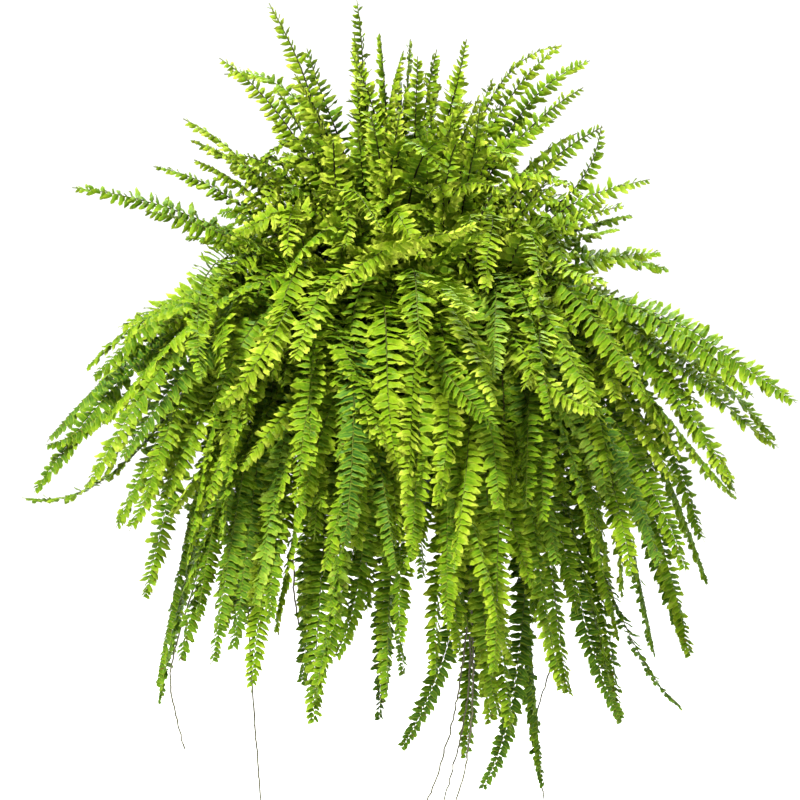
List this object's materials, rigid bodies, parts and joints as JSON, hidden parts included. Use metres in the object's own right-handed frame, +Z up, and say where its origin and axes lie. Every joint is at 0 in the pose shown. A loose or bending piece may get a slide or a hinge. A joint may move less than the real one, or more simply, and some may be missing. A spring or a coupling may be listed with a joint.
{
  "type": "potted fern",
  "caption": "Full sword fern in a plain round hanging pot, with arching toothed fronds that hang past the pot, wiry runners, and a three-strand hanger with a hook.",
  "frame": {"origin": "inside top of the hook, where it bears on the ceiling hook or rail that holds it", "axes": "+Z up, -Y towards the side shown in the picture, +X to that viewer's right"},
  "size_m": [0.7508, 0.6467, 0.785],
  "materials": {
    "pot": "matte",
    "soil": "rough",
    "hanger": "satin",
    "runner": "matte",
    "frond": "satin"
  },
  "bodies": {
    "root": {"pot": "pot", "soil": "soil", "hook": "hanger", "strand_1": "hanger", "strand_2": "hanger", "strand_3": "hanger", "runner_1": "runner", "runner_2": "runner", "runner_3": "runner", "runner_4": "runner", "runner_5": "runner", "tuft_1": "frond", "tuft_2": "frond", "tuft_3": "frond", "tuft_4": "frond", "tuft_5": "frond", "tuft_6": "frond", "tuft_7": "frond", "tuft_8": "frond", "tuft_9": "frond", "tuft_10": "frond", "tuft_11": "frond", "tuft_12": "frond", "tuft_13": "frond", "tuft_14": "frond", "tuft_15": "frond", "tuft_16": "frond", "tuft_17": "frond", "tuft_18": "frond", "tuft_19": "frond", "tuft_20": "frond", "tuft_21": "frond", "tuft_22": "frond", "tuft_23": "frond", "tuft_24": "frond", "tuft_25": "frond", "tuft_26": "frond", "tuft_27": "frond", "tuft_28": "frond", "tuft_29": "frond", "tuft_30": "frond", "tuft_31": "frond", "tuft_32": "frond", "tuft_33": "frond", "tuft_34": "frond", "tuft_35": "frond", "tuft_36": "frond", "tuft_37": "frond", "tuft_38": "frond", "tuft_39": "frond", "tuft_40": "frond", "tuft_41": "frond", "tuft_42": "frond", "tuft_43": "frond", "tuft_44": "frond"}
  },
  "joints": []
}
